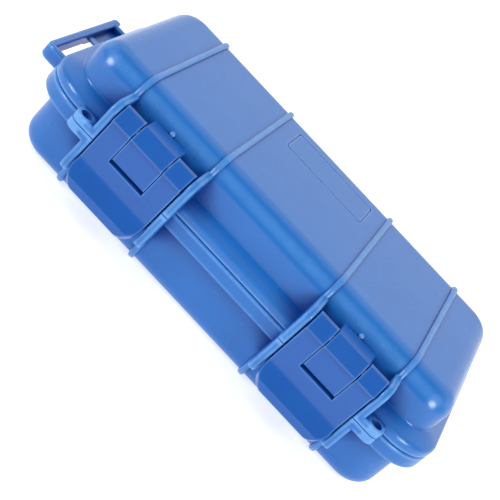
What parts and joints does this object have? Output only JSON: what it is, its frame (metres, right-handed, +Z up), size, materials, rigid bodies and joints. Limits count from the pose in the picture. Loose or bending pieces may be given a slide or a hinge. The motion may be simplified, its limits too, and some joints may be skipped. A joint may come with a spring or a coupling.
{
  "type": "hard case",
  "caption": "Flat waterproof hard case with a rounded lid, rear hinge, rubber seal, front draw latches with pull levers, padlock eyes and a strap bracket on one end.",
  "frame": {"origin": "centre of the case's flat underside", "axes": "+Z up out of the lid, +X along the case's length away from the strap bracket, +Y from the latches towards the rear hinge"},
  "size_m": [0.2425, 0.1467, 0.0651],
  "materials": {
    "shell_plastic": "satin",
    "latch_plastic": "satin",
    "seal_rubber": "matte",
    "pin_steel": "brushed"
  },
  "bodies": {
    "base": {"base_shell": "shell_plastic", "hinge_pin_left": "pin_steel", "hinge_pin_right": "pin_steel", "hook_pin_left": "pin_steel", "hook_pin_right": "pin_steel"},
    "lid": {"lid_shell": "shell_plastic", "lid_seal": "seal_rubber"},
    "hook_left": {"latch_hook_left": "latch_plastic", "lever_pin_left": "pin_steel"},
    "lever_left": {"latch_lever_left": "latch_plastic"},
    "hook_right": {"latch_hook_right": "latch_plastic", "lever_pin_right": "pin_steel"},
    "lever_right": {"latch_lever_right": "latch_plastic"}
  },
  "joints": [
    {"name": "lid_hinge", "type": "hinge", "parent": "base", "child": "lid", "pos_m": [0, 0.0665, 0.035], "axis": [-1, 0, 0], "range_deg": [0, 105]},
    {"name": "hook_swing_left", "type": "hinge", "parent": "base", "child": "hook_left", "pos_m": [-0.05735, -0.0636, 0.022], "axis": [1, 0, 0], "range_deg": [0, 90]},
    {"name": "lever_lift_left", "type": "hinge", "parent": "hook_left", "child": "lever_left", "pos_m": [-0.05735, -0.0667, 0.0508], "axis": [-1, 0, 0], "range_deg": [0, 150]},
    {"name": "hook_swing_right", "type": "hinge", "parent": "base", "child": "hook_right", "pos_m": [0.05735, -0.0636, 0.022], "axis": [1, 0, 0], "range_deg": [0, 90]},
    {"name": "lever_lift_right", "type": "hinge", "parent": "hook_right", "child": "lever_right", "pos_m": [0.05735, -0.0667, 0.0508], "axis": [-1, 0, 0], "range_deg": [0, 150]}
  ]
}
